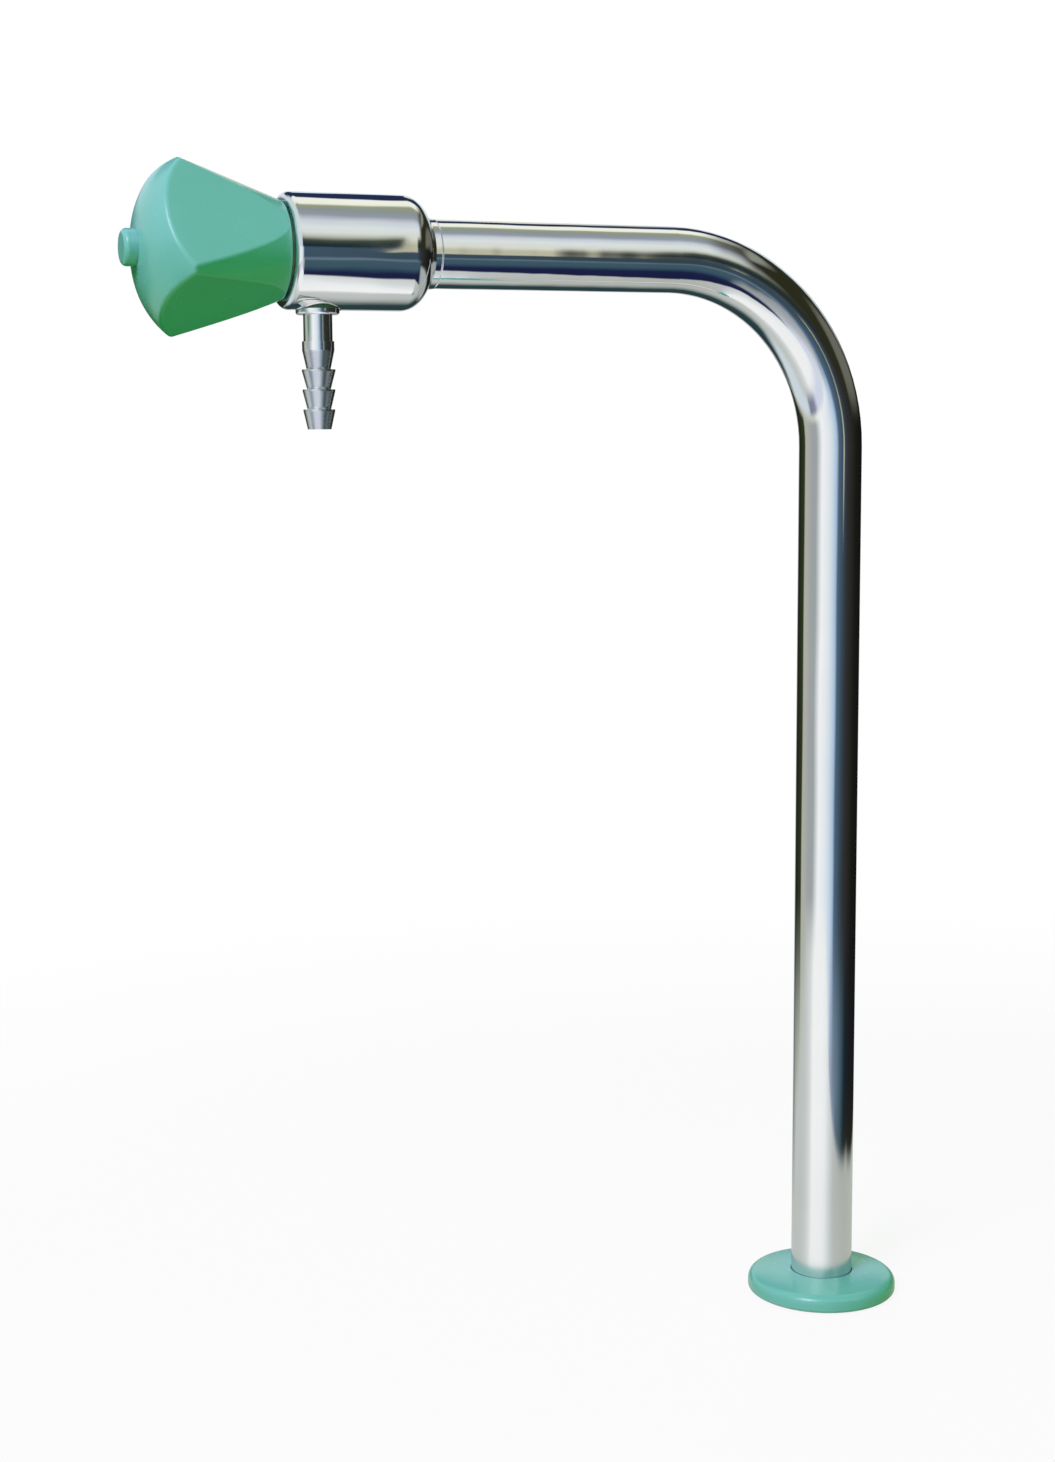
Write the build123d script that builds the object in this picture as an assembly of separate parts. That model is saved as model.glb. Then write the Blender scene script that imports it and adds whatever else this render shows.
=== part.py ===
from build123d import *
from math import asin, atan2, cos, degrees, hypot, pi, radians, sin, sqrt, tan
import os

# Pure-water tap for a laboratory bench: a swan-neck tube stands on the deck, its arm carries a
# valve barrel with a barbed hose nozzle below and a four-lobed knob on the end.
# Origin: centre of the column on the deck plane. +Z up, the arm points along -X. Millimetres.

# Swan neck
tube_radius = 11.0            # outside of the tube
tube_wall = 1.5
arm_height = 370.5            # deck to the arm's axis
bend_radius = 63.0            # centreline of the bend
tube_end_chamfer = 0.4

# Valve barrel, measured back from its front face
front_face_reach = 198.4      # column axis to the barrel's front face
barrel_radius = 18.3
barrel_front_round = 2.2      # round of the front corner
barrel_body_length = 43.2     # full-diameter body, front face to the rear cone
shoulder_round = 8.0          # round between the body and the rear cone
shoulder_length = 4.8         # rear cone
neck_radius = 11.2            # ring that butts against the tube
neck_length = 2.2
neck_chamfer = 0.3
spigot_length = 12.0          # part of the barrel inside the tube
spigot_clearance = 0.05
waterway_radius = 7.5         # bore of the barrel's tail and of the shank
seat_bore_radius = 5.5
seat_depth = 19.5             # front face to the valve seat
seat_thickness = 3.0

# Hose nozzle, measured down from the arm's axis
nozzle_setback = 11.6         # front face back to the nozzle's axis
spotface_drop = 16.85
spotface_radius = 7.4
nozzle_seal_height = 1.0
nozzle_seal_radius = 6.6
nozzle_collar_radius = 7.0
nozzle_collar_height = 1.9
nozzle_collar_round = 0.9
nozzle_stem_radius = 4.63
nozzle_stem_length = 8.3
nozzle_band_radius = 5.13     # plain band between the stem and the barbs
nozzle_band_length = 2.8
nozzle_cone_length = 6.0
nozzle_cone_radius = 3.8
barb_count = 3
barb_pitch = 6.3
barb_land = 0.5
barb_radius = 5.35            # crest of the first barb
barb_radius_step = 0.14       # each further crest is smaller by this
barb_root_radius = 3.75
nozzle_bore_radius = 2.5
nozzle_thread_radius = 4.8
nozzle_thread_length = 6.8
thread_clearance = 0.05

# Headwork: the screwed-in quarter-turn cartridge, heights measured out from the front face
bonnet_gasket_height = 1.0
bonnet_gasket_radius = 12.6
bonnet_thread_radius = 10.1
bonnet_thread_length = 7.0
bonnet_undercut_radius = 9.5
bonnet_undercut_length = 1.0
bonnet_body_radius = 8.9
bonnet_body_end = 18.5        # front face back to the cartridge's rear end
bonnet_hex_flats = 22.0
bonnet_hex_height = 5.0
bonnet_hex_chamfer = 0.8
bonnet_neck_radius = 7.5
bonnet_neck_top = 12.0
cavity_radius = 7.2
cavity_depth = 7.5            # front face back to the cavity's ceiling
window_width = 7.0
window_start = 8.7
window_length = 5.0

# Travel stop
stop_wall_inner = 5.6
stop_wall_height = 3.0
stop_lug_angle = 40.0
stop_margin_angle = 3.0
stop_wall_gap = 0.3
stop_ring_height = 2.0
handle_travel = 90.0

# Spindle
spindle_radius = 4.0
running_clearance = 0.05
spindle_foot_radius = 6.7
spindle_foot_height = 2.0
thrust_washer_height = 0.6
thrust_washer_radius = 6.5
tang_width = 3.0
tang_length = 11.0
tang_height = 2.4
spindle_top = 25.0
spline_count = 12
spline_depth = 0.45
spline_width = 1.0
spline_clearance = 0.05
o_ring_section = 0.55         # section radius of the spindle's O-rings
o_ring_squeeze_gap = 0.02
o_ring_groove_width = 1.3
o_ring_groove_floor = 2.9
o_ring_heights = (2.0, 6.0)
circlip_height = 0.8
circlip_radius = 5.2
circlip_groove_radius = 3.4
circlip_mouth = 2.6
circlip_clearance = 0.1

# Ceramic discs and seat seal
disc_height = 2.45
disc_gap = 0.05
moving_disc_radius = 6.9
fixed_disc_radius = 7.1
disc_port_inner = 1.9
disc_port_outer = 5.9
disc_port_angle = 84.0
tang_slot_clearance = 0.05
tang_slot_depth = 1.3
moving_disc_start = 11.4      # front face back to the moving disc
key_width = 2.4
key_reach = 8.3
key_clearance = 0.1
seat_seal_radius = 7.0
seat_seal_inner = 5.0
seat_seal_groove = 0.6

# Knob
knob_gap = 0.7                # front face to the knob's base
knob_base_radius = 15.5
knob_tip_radius = 27.9        # lobe tips
knob_tip_height = 34.4        # front face to the lobe tips
knob_dome_apex = 46.9         # front face to the top of the dome
dome_crown_radius = 55.0      # flat middle of the dome
dome_crown_reach = 10.0       # axis to the edge of that flat middle
lobe_count = 4
side_base_distance = 15.6     # axis to the middle of a side face, at the knob's base
side_tip_distance = 20.6      # the same at the height of the lobe tips
lobe_edge_round = 1.8
knob_base_round = 0.4
knob_wall = 2.2
knob_rest_angle = -17.0       # lobes turned off the vertical at rest
boss_radius = 8.6
boss_start = 15.4
rib_thickness = 1.6
rib_start = 22.0

# Insert, screw and cap inside the knob
insert_radius = 6.0
insert_length = 9.9
web_height = 2.0              # plastic web between the insert and the screw's well
screw_radius = 2.5
screw_hole_clearance = 0.2
screw_length = 10.0
screw_head_radius = 4.3
screw_head_height = 2.8
screw_socket_flats = 3.0
screw_socket_depth = 1.6
screw_washer_height = 1.0
screw_washer_radius = 4.6
screw_washer_gap = 0.8
well_radius = 4.9
cap_radius = 5.8
cap_clearance = 0.1
cap_seat = 41.0               # front face to the shoulder that the cap stands on
cap_front = 50.8
cap_wall = 1.3
cap_round = 1.6

# Base
shank_radius = 10.4775        # G 1/2 parallel thread, outside
shank_length = 60.0
shank_end_chamfer = 1.2
relief_radius = 9.6
relief_length = 1.8
inlet_thread_length = 25.0
base_flange_radius = 17.0
base_flange_height = 2.6
base_spigot_length = 14.0
gasket_height = 1.6
gasket_radius = 19.5
gasket_clearance = 0.12
rosette_radius = 26.8
rosette_height = 7.6          # top of the crowned cover, at the column
rosette_rim_height = 5.9      # the same at the rim, before it is rounded
rosette_crown = 0.35          # how far the crown stands over a straight cone
rosette_rim_round = 3.2
rosette_foot_round = 1.2
rosette_lift = 0.3            # rim above the deck, when the gasket is not yet squeezed
rosette_bore_clearance = 0.15
rosette_recess_radius = 21.0
rosette_recess_height = 4.5
rosette_bore_round = 0.25
rosette_ring_section = 0.55
rosette_ring_width = 1.3
rosette_ring_height = 5.35

# Fixing under the deck
deck_thickness = 20.0         # bench top that the tap is clamped to
soft_washer_height = 2.0
soft_washer_radius = 17.0
clamp_washer_height = 1.5
clamp_washer_radius = 17.5
washer_clearance = 0.15
nut_flats = 27.0
nut_height = 8.0
nut_chamfer = 1.2


# Directions: barrel_frame looks out of the barrel's front face, nozzle_frame looks down the nozzle
barrel_frame = Location(Plane(origin=(-front_face_reach, 0, arm_height), x_dir=(0, 0, 1), z_dir=(-1, 0, 0)))
nozzle_reach = front_face_reach - nozzle_setback
nozzle_frame = Location(Plane(origin=(-nozzle_reach, 0, arm_height), x_dir=(1, 0, 0), z_dir=(0, 0, -1)))


def turned(*profile):
    """Solid of revolution about Z from (radius, height) corners."""
    return revolve(Plane.XZ * make_face(Polyline(*profile, close=True)), axis=Axis.Z)


def ring(outer, inner, low, high):
    """Plain ring about Z between two heights."""
    return turned((inner, low), (outer, low), (outer, high), (inner, high))


def rod(radius, low, high):
    """Plain cylinder about Z between two heights."""
    return Pos(0, 0, low) * Cylinder(radius, high - low, align=(Align.CENTER, Align.CENTER, Align.MIN))


def torus(middle, section, height):
    """O-ring about Z."""
    return Pos(0, 0, height) * Torus(middle, section)


def sector(outer, inner, low, high, start, sweep_angle):
    """Part of a ring, from a start angle over a sweep angle."""
    half_profile = Plane.XZ * make_face(Polyline((inner, low), (outer, low), (outer, high), (inner, high), close=True))
    return Rot(0, 0, start) * revolve(half_profile, axis=Axis.Z, revolution_arc=sweep_angle)


def hexagon(flats, low, high, bevel):
    """Hexagonal prism about Z with bevelled corners on both ends."""
    prism = extrude(Pos(0, 0, low) * RegularPolygon(flats / 2, 6, major_radius=False), high - low)
    corner = flats / 2 / cos(radians(30))
    run = (corner - flats / 2 + bevel) * tan(radians(30))
    barrel = turned((0, low), (flats / 2 - bevel, low), (corner, low + run), (corner, high - run),
                    (flats / 2 - bevel, high), (0, high))
    return prism & barrel


# Swan neck: one bent tube, from the base flange to the barrel's neck
tube_inner_radius = tube_radius - tube_wall
tube_foot = gasket_height + base_flange_height
barrel_tail = barrel_body_length + shoulder_length
neck_end = barrel_tail + neck_length
tube_tip_reach = front_face_reach - neck_end
bend_low = (0, 0, arm_height - bend_radius)
bend_mid = (-bend_radius * (1 - cos(radians(45))), 0, arm_height - bend_radius * (1 - sin(radians(45))))
bend_high = (-bend_radius, 0, arm_height)
centreline = (Line((0, 0, tube_foot), bend_low) + ThreePointArc(bend_low, bend_mid, bend_high)
              + Line(bend_high, (-tube_tip_reach, 0, arm_height)))
tube_section = Pos(0, 0, tube_foot) * (Circle(tube_radius) - Circle(tube_inner_radius))
swan_neck_tube = sweep(tube_section, path=centreline)
tip_edges = swan_neck_tube.edges().filter_by(GeomType.CIRCLE).group_by(Axis.X)[0]
swan_neck_tube = chamfer(tip_edges.sort_by(SortBy.RADIUS)[-1], tube_end_chamfer)

# Valve barrel: turned outside, stepped waterway, spot-faced port for the nozzle
spigot_radius = tube_inner_radius - spigot_clearance
chamber_radius = bonnet_thread_radius + thread_clearance
barrel_blank = turned(
    (0, 0), (barrel_radius, 0), (barrel_radius, -barrel_body_length), (neck_radius, -barrel_tail),
    (neck_radius, -neck_end + neck_chamfer), (neck_radius - neck_chamfer, -neck_end), (spigot_radius, -neck_end),
    (spigot_radius, -neck_end - spigot_length), (0, -neck_end - spigot_length))
wide_edges = barrel_blank.edges().filter_by(GeomType.CIRCLE).sort_by(SortBy.RADIUS)[-2:].sort_by(Axis.Z)
barrel_blank = fillet(wide_edges[-1], barrel_front_round)
wide_edges = barrel_blank.edges().filter_by(GeomType.CIRCLE).sort_by(SortBy.RADIUS)[-2:].sort_by(Axis.Z)
barrel_blank = fillet(wide_edges[0], shoulder_round)
waterway = turned(
    (0, 0), (chamber_radius, 0), (chamber_radius, -seat_depth), (seat_bore_radius, -seat_depth),
    (seat_bore_radius, -seat_depth - seat_thickness), (waterway_radius, -seat_depth - seat_thickness),
    (waterway_radius, -neck_end - spigot_length), (0, -neck_end - spigot_length))
port = rod(nozzle_thread_radius + thread_clearance, 0, barrel_radius)
spotface = rod(spotface_radius, spotface_drop, barrel_radius + nozzle_collar_height)
valve_barrel = barrel_frame * (barrel_blank - waterway) - nozzle_frame * (port + spotface)

# Hose nozzle: collar, stem, plain band and a run of barbs, each crest a little smaller
collar_top = spotface_drop + nozzle_seal_height
collar_end = collar_top + nozzle_collar_height
stem_end = collar_end + nozzle_stem_length
band_end = stem_end + nozzle_band_length
barbs_start = band_end + nozzle_cone_length
nozzle_top = collar_top - nozzle_thread_length
nozzle_tip = barbs_start + barb_count * barb_pitch
barb_profile = []
for index in range(barb_count):
    crest = barb_radius - index * barb_radius_step
    start = barbs_start + index * barb_pitch
    barb_profile += [(crest, start), (crest, start + barb_land), (barb_root_radius, start + barb_pitch)]
nozzle_blank = turned(
    (0, nozzle_top), (nozzle_thread_radius, nozzle_top), (nozzle_thread_radius, collar_top),
    (nozzle_collar_radius, collar_top), (nozzle_collar_radius, collar_end), (nozzle_stem_radius, collar_end),
    (nozzle_stem_radius, stem_end), (nozzle_band_radius, stem_end), (nozzle_band_radius, band_end),
    (nozzle_cone_radius, barbs_start), *barb_profile, (0, nozzle_tip))
collar_edge = [edge for edge in nozzle_blank.edges().filter_by(GeomType.CIRCLE)
               if abs(edge.center().Z - collar_end) < thread_clearance and edge.radius > nozzle_band_radius]
nozzle_blank = fillet(collar_edge, nozzle_collar_round)
hose_nozzle = nozzle_frame * (nozzle_blank - rod(nozzle_bore_radius, nozzle_top, nozzle_tip))
nozzle_seal = nozzle_frame * ring(nozzle_seal_radius, nozzle_thread_radius + thread_clearance,
                                  spotface_drop, collar_top)

# Headwork bonnet: hexagon, thread, windowed cage, spindle bore and the travel-stop wall
hex_low = bonnet_gasket_height
hex_high = hex_low + bonnet_hex_height
wall_angle = 360 - handle_travel - stop_lug_angle - 2 * stop_margin_angle
wall_start = handle_travel + stop_lug_angle / 2 + stop_margin_angle
bonnet_outside = turned(
    (0, -bonnet_body_end), (bonnet_body_radius, -bonnet_body_end),
    (bonnet_body_radius, -bonnet_thread_length - bonnet_undercut_length),
    (bonnet_undercut_radius, -bonnet_thread_length - bonnet_undercut_length),
    (bonnet_undercut_radius, -bonnet_thread_length), (bonnet_thread_radius, -bonnet_thread_length),
    (bonnet_thread_radius, hex_low), (bonnet_neck_radius, hex_low), (bonnet_neck_radius, bonnet_neck_top),
    (0, bonnet_neck_top))
bonnet_hex = hexagon(bonnet_hex_flats, hex_low, hex_high, bonnet_hex_chamfer)
stop_wall = sector(bonnet_neck_radius, stop_wall_inner, bonnet_neck_top, bonnet_neck_top + stop_wall_height,
                   wall_start, wall_angle)
cage_bore = rod(cavity_radius, -bonnet_body_end, -cavity_depth)
spindle_bore = rod(spindle_radius + running_clearance, -cavity_depth, bonnet_neck_top)
windows = Pos(0, 0, -window_start - window_length / 2) * Box(2 * bonnet_body_radius + 1, window_width, window_length)
key_start = moving_disc_start + disc_height + disc_gap
key_slots = Pos(0, 0, -(key_start + bonnet_body_end) / 2) * Box(
    2 * bonnet_body_radius + 1, key_width + 2 * key_clearance, bonnet_body_end - key_start)
key_slots = Rot(0, 0, 90) * key_slots
headwork_bonnet = barrel_frame * (bonnet_outside + bonnet_hex + stop_wall - cage_bore - spindle_bore
                                  - windows - key_slots)
bonnet_gasket = barrel_frame * ring(bonnet_gasket_radius, bonnet_thread_radius + thread_clearance, 0, hex_low)

# Ceramic discs: the fixed one is keyed to the cage, the moving one is turned by the spindle's tang
fixed_start = -key_start - disc_height
fixed_disc_blank = rod(fixed_disc_radius, fixed_start, -key_start)
keys = Pos(0, 0, (fixed_start - key_start) / 2) * Box(key_width, 2 * key_reach, disc_height)
fixed_disc_blank += keys & rod(key_reach, fixed_start, -key_start)
for side in (0, 180):
    fixed_disc_blank -= sector(disc_port_outer, disc_port_inner, fixed_start, -key_start,
                               side - disc_port_angle / 2, disc_port_angle)
fixed_ceramic_disc = barrel_frame * fixed_disc_blank
moving_end = -moving_disc_start - disc_height
moving_disc_blank = rod(moving_disc_radius, moving_end, -moving_disc_start)
for side in (90, 270):
    moving_disc_blank -= sector(moving_disc_radius + 1, disc_port_inner + tang_width / 2, moving_end,
                                -moving_disc_start, side - disc_port_angle / 2, disc_port_angle)
tang_slot = Pos(0, 0, -moving_disc_start - tang_slot_depth / 2) * Box(
    tang_length + 2 * tang_slot_clearance, tang_width + 2 * tang_slot_clearance, tang_slot_depth)
moving_ceramic_disc = barrel_frame * (moving_disc_blank - tang_slot)
seat_seal_blank = ring(seat_seal_radius, seat_seal_inner, -seat_depth, fixed_start)
seat_seal_blank -= torus(seat_seal_radius, seat_seal_groove, (fixed_start - seat_depth) / 2)
seat_seal = barrel_frame * seat_seal_blank

# Spindle: foot with a tang, two O-ring grooves, circlip groove and a splined end
foot_high = -cavity_depth - thrust_washer_height - 2 * running_clearance
foot_low = foot_high - spindle_foot_height
circlip_low = bonnet_neck_top + circlip_clearance
circlip_high = circlip_low + circlip_height
spline_low = circlip_high + circlip_clearance
spindle_blank = rod(spindle_radius, foot_low, spindle_top) + rod(spindle_foot_radius, foot_low, foot_high)
spindle_blank += Pos(0, 0, foot_low - tang_height / 2) * Box(tang_length, tang_width, tang_height)
for height in o_ring_heights:
    spindle_blank -= ring(spindle_radius + 1, o_ring_groove_floor, height - o_ring_groove_width / 2,
                          height + o_ring_groove_width / 2)
spindle_blank -= ring(spindle_radius + 1, circlip_groove_radius, circlip_low, circlip_high)


def spline_grooves(extra):
    """Grooves of the splined end, narrowed by the clearance."""
    groove = Pos(spindle_radius - spline_depth / 2 + extra, 0, (spline_low + spindle_top) / 2) * Box(
        spline_depth, spline_width - 2 * extra, spindle_top - spline_low)
    return [Rot(0, 0, index * 360 / spline_count) * groove for index in range(spline_count)]


spindle_blank -= spline_grooves(0)
spindle_blank -= rod(screw_radius + thread_clearance, spindle_top - screw_length, spindle_top)
spindle = barrel_frame * spindle_blank
o_ring_middle = spindle_radius + running_clearance - o_ring_squeeze_gap - o_ring_section
spindle_o_rings = Compound([barrel_frame * torus(o_ring_middle, o_ring_section, height) for height in o_ring_heights])
thrust_washer = barrel_frame * ring(thrust_washer_radius, spindle_radius + running_clearance,
                                    foot_high + running_clearance, -cavity_depth - running_clearance)
circlip_blank = ring(circlip_radius, circlip_groove_radius, circlip_low, circlip_high)
circlip_blank -= Pos(circlip_radius / 2, 0, (circlip_low + circlip_high) / 2) * Box(
    circlip_radius + 1, circlip_mouth, circlip_height)
spindle_circlip = barrel_frame * circlip_blank

# Travel stop: a splined ring whose lug runs between the ends of the bonnet's wall
stop_low = spline_low
stop_high = stop_low + stop_ring_height
stop_blank = ring(stop_wall_inner - stop_wall_gap, spindle_radius + spline_clearance, stop_low, stop_high)
stop_blank += sector(bonnet_neck_radius, spindle_radius + spline_clearance, stop_low, stop_high,
                     -stop_lug_angle / 2, stop_lug_angle)
travel_stop = barrel_frame * stop_blank

# Knob: a flaring cone under a flat-crowned dome, cut by four side faces that leave the lobes
cone_slope = (knob_tip_radius - knob_base_radius) / (knob_tip_height - knob_gap)
side_slope = (side_tip_distance - side_base_distance) / (knob_tip_height - knob_gap)
side_tilt = degrees(atan2(side_tip_distance - side_base_distance, knob_tip_height - knob_gap))
cutter_size = 3 * knob_tip_radius

# The dome's shoulder arc leaves the crown's arc at the crown's edge and ends at the lobe tips
crown_angle = asin(dome_crown_reach / dome_crown_radius)
crown_edge_height = knob_dome_apex - dome_crown_radius * (1 - cos(crown_angle))
fall_run = knob_tip_radius - dome_crown_reach
fall_drop = crown_edge_height - knob_tip_height
fall_turn = atan2(fall_drop, fall_run) - crown_angle
dome_shoulder_radius = hypot(fall_run, fall_drop) / (2 * sin(fall_turn))
dome_shoulder_x = dome_crown_reach - dome_shoulder_radius * sin(crown_angle)
dome_shoulder_z = crown_edge_height - dome_shoulder_radius * cos(crown_angle)


def dome_form(inset, low):
    """The solid under the knob's dome, drawn in by a wall thickness."""
    crown, shoulder = dome_crown_radius - inset, dome_shoulder_radius - inset
    apex = (0, knob_dome_apex - inset)
    edge = (crown * sin(crown_angle), crown_edge_height - inset * cos(crown_angle))
    side = (dome_shoulder_x + shoulder, dome_shoulder_z)
    middle_angle = (pi / 2 + crown_angle) / 2
    middle = (dome_shoulder_x + shoulder * sin(middle_angle), dome_shoulder_z + shoulder * cos(middle_angle))
    crown_middle = (crown * sin(crown_angle / 2), apex[1] - crown * (1 - cos(crown_angle / 2)))
    outline = ThreePointArc(apex, crown_middle, edge) + ThreePointArc(edge, middle, side)
    outline += Polyline(side, (side[0], low), (0, low), apex)
    return revolve(Plane.XZ * make_face(outline), Axis.Z)


def lobed_form(inset, low):
    """The knob's outline, drawn in by a wall thickness and starting at a given height."""
    bottom = knob_base_radius + (low - knob_gap) * cone_slope - inset
    top = bottom + (knob_dome_apex - low) * cone_slope
    form = turned((0, low), (bottom, low), (top, knob_dome_apex), (0, knob_dome_apex))
    form &= dome_form(inset, low)
    for index in range(lobe_count):
        face = Pos(side_base_distance - inset, 0, knob_gap) * Rot(0, side_tilt, 0) * Box(
            cutter_size, cutter_size, cutter_size, align=(Align.MIN, Align.CENTER, Align.CENTER))
        form -= Rot(0, 0, (index + 1 / 2) * 360 / lobe_count) * face
    return form


knob_outside = lobed_form(0, knob_gap)
base_edges = knob_outside.edges().group_by(Axis.Z)[0]
lobe_edges = [edge for edge in knob_outside.edges() if edge not in base_edges]
knob_outside = fillet(lobe_edges, lobe_edge_round)
knob_outside = fillet(knob_outside.edges().group_by(Axis.Z)[0], knob_base_round)
insert_low = boss_start
insert_high = insert_low + insert_length
well_floor = insert_high + web_height
knob_hollow = lobed_form(knob_wall, knob_gap) - rod(boss_radius, boss_start, knob_dome_apex)
rib_reach = 2 * knob_tip_radius
for index in range(lobe_count):
    rib = Pos(rib_reach / 2, 0, (rib_start + knob_dome_apex) / 2) * Box(
        rib_reach, rib_thickness, knob_dome_apex - rib_start)
    knob_hollow -= Rot(0, 0, index * 360 / lobe_count) * rib
knob_bores = turned(
    (0, insert_low), (insert_radius, insert_low), (insert_radius, insert_high),
    (screw_radius + screw_hole_clearance, insert_high), (screw_radius + screw_hole_clearance, well_floor),
    (well_radius, well_floor), (well_radius, cap_seat), (cap_radius + cap_clearance, cap_seat),
    (cap_radius + cap_clearance, knob_dome_apex + 1), (0, knob_dome_apex + 1))
knob_frame = barrel_frame * Rot(0, 0, knob_rest_angle)
handle = knob_frame * (knob_outside - knob_hollow - knob_bores)
insert_blank = ring(insert_radius, spindle_radius + spline_clearance, insert_low, insert_high)
insert_blank += [form & rod(spindle_radius + 1, insert_low, spindle_top) for form in spline_grooves(spline_clearance)]
handle_insert = barrel_frame * insert_blank

# Screw, spring washer and cap
washer_high = well_floor + screw_washer_height
head_high = washer_high + screw_head_height
screw_blank = rod(screw_radius, washer_high - screw_length, washer_high)
screw_blank += rod(screw_head_radius, washer_high, head_high)
screw_blank -= extrude(Pos(0, 0, head_high - screw_socket_depth) * RegularPolygon(
    screw_socket_flats / 2, 6, major_radius=False), screw_socket_depth)
handle_screw = barrel_frame * screw_blank
screw_washer_blank = ring(screw_washer_radius, screw_radius + screw_hole_clearance, well_floor, washer_high)
screw_washer_blank -= Pos(screw_washer_radius / 2, 0, (well_floor + washer_high) / 2) * Box(
    screw_washer_radius + 1, screw_washer_gap, screw_washer_height)
screw_spring_washer = barrel_frame * screw_washer_blank
cap_blank = rod(cap_radius, cap_seat, cap_front)
cap_blank = fillet(cap_blank.edges().group_by(Axis.Z)[-1], cap_round)
cap_blank -= rod(cap_radius - cap_wall, cap_seat, cap_front - cap_wall)
handle_cap = barrel_frame * cap_blank

# Base: shank with the flange that stands on the gasket and the spigot inside the tube
inlet_top = -shank_length + inlet_thread_length
threaded_shank = turned(
    (waterway_radius, -shank_length), (shank_radius - shank_end_chamfer, -shank_length),
    (shank_radius, -shank_length + shank_end_chamfer), (shank_radius, inlet_top), (relief_radius, inlet_top),
    (relief_radius, inlet_top + relief_length), (shank_radius, inlet_top + relief_length),
    (shank_radius, gasket_height), (base_flange_radius, gasket_height), (base_flange_radius, tube_foot),
    (spigot_radius, tube_foot), (spigot_radius, tube_foot + base_spigot_length),
    (waterway_radius, tube_foot + base_spigot_length))
deck_gasket = ring(gasket_radius, shank_radius + gasket_clearance, 0, gasket_height)

# Rosette: moulded cover with a rounded rim, open below, with a ring that grips the column
rosette_bore = tube_radius + rosette_bore_clearance
crown_middle = ((rosette_bore + rosette_radius) / 2, (rosette_height + rosette_rim_height) / 2 + rosette_crown)
rosette_outline = Polyline(
    (rosette_bore, rosette_height), (rosette_bore, rosette_recess_height),
    (rosette_recess_radius, rosette_recess_height), (rosette_recess_radius, rosette_lift),
    (rosette_radius, rosette_lift), (rosette_radius, rosette_rim_height))
rosette_outline += ThreePointArc((rosette_radius, rosette_rim_height), crown_middle, (rosette_bore, rosette_height))
rosette_face = make_face(rosette_outline)
rim_corner = rosette_face.vertices().group_by(Axis.X)[-1].sort_by(Axis.Y)[-1]
rosette_face = fillet(rim_corner, rosette_rim_round)
foot_corner = rosette_face.vertices().group_by(Axis.X)[-1].sort_by(Axis.Y)[0]
rosette_face = fillet(foot_corner, rosette_foot_round)
bore_corner = rosette_face.vertices().group_by(Axis.Y)[-1]
rosette_face = fillet(bore_corner, rosette_bore_round)
rosette_blank = revolve(Plane.XZ * rosette_face, axis=Axis.Z)
ring_groove_radius = tube_radius + 2 * rosette_ring_section + rosette_bore_clearance / 2
base_rosette = rosette_blank - ring(ring_groove_radius, tube_radius, rosette_ring_height - rosette_ring_width / 2,
                                    rosette_ring_height + rosette_ring_width / 2)
rosette_o_ring = torus(tube_radius + rosette_ring_section, rosette_ring_section, rosette_ring_height)

# Fixing: soft washer, clamp washer and nut under the bench top
soft_washer_low = -deck_thickness - soft_washer_height
clamp_washer_low = soft_washer_low - clamp_washer_height
nut_low = clamp_washer_low - nut_height
washer_bore = shank_radius + washer_clearance
under_deck_washer = ring(soft_washer_radius, washer_bore, soft_washer_low, -deck_thickness)
clamp_washer = ring(clamp_washer_radius, washer_bore, clamp_washer_low, soft_washer_low)
lock_nut = hexagon(nut_flats, nut_low, clamp_washer_low, nut_chamfer) - rod(
    shank_radius + thread_clearance, nut_low, clamp_washer_low)

pieces = {
    "swan_neck_tube": swan_neck_tube,
    "base_rosette": base_rosette,
    "rosette_o_ring": rosette_o_ring,
    "threaded_shank": threaded_shank,
    "deck_gasket": deck_gasket,
    "under_deck_washer": under_deck_washer,
    "clamp_washer": clamp_washer,
    "lock_nut": lock_nut,
    "valve_barrel": valve_barrel,
    "hose_nozzle": hose_nozzle,
    "nozzle_seal": nozzle_seal,
    "headwork_bonnet": headwork_bonnet,
    "bonnet_gasket": bonnet_gasket,
    "seat_seal": seat_seal,
    "fixed_ceramic_disc": fixed_ceramic_disc,
    "moving_ceramic_disc": moving_ceramic_disc,
    "spindle": spindle,
    "spindle_o_rings": spindle_o_rings,
    "thrust_washer": thrust_washer,
    "spindle_circlip": spindle_circlip,
    "travel_stop": travel_stop,
    "handle": handle,
    "handle_insert": handle_insert,
    "handle_screw": handle_screw,
    "screw_spring_washer": screw_spring_washer,
    "handle_cap": handle_cap,
}
os.makedirs("parts", exist_ok=True)
for name, piece in pieces.items():
    export_step(piece, f"parts/{name}.step")
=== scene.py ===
# %% [markdown]
# # A laboratory tap for pure water
# The tap is one bent stainless tube on a green foot, with a valve barrel, a barbed hose nozzle and a
# green four-lobed knob at the end of its arm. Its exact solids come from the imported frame, in metres,
# with the column standing on the origin and the arm pointing along -X. This lesson dresses them:
# it cuts the pipe thread that the solid shank leaves plain, gives each solid a finish, and sets up a
# small white studio whose reflections draw the dark and bright bands along the polished steel.

# %% Load the frame
from math import cos, radians, sin, tau

import bmesh
import bpy
from mathutils import Matrix, Vector


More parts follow.
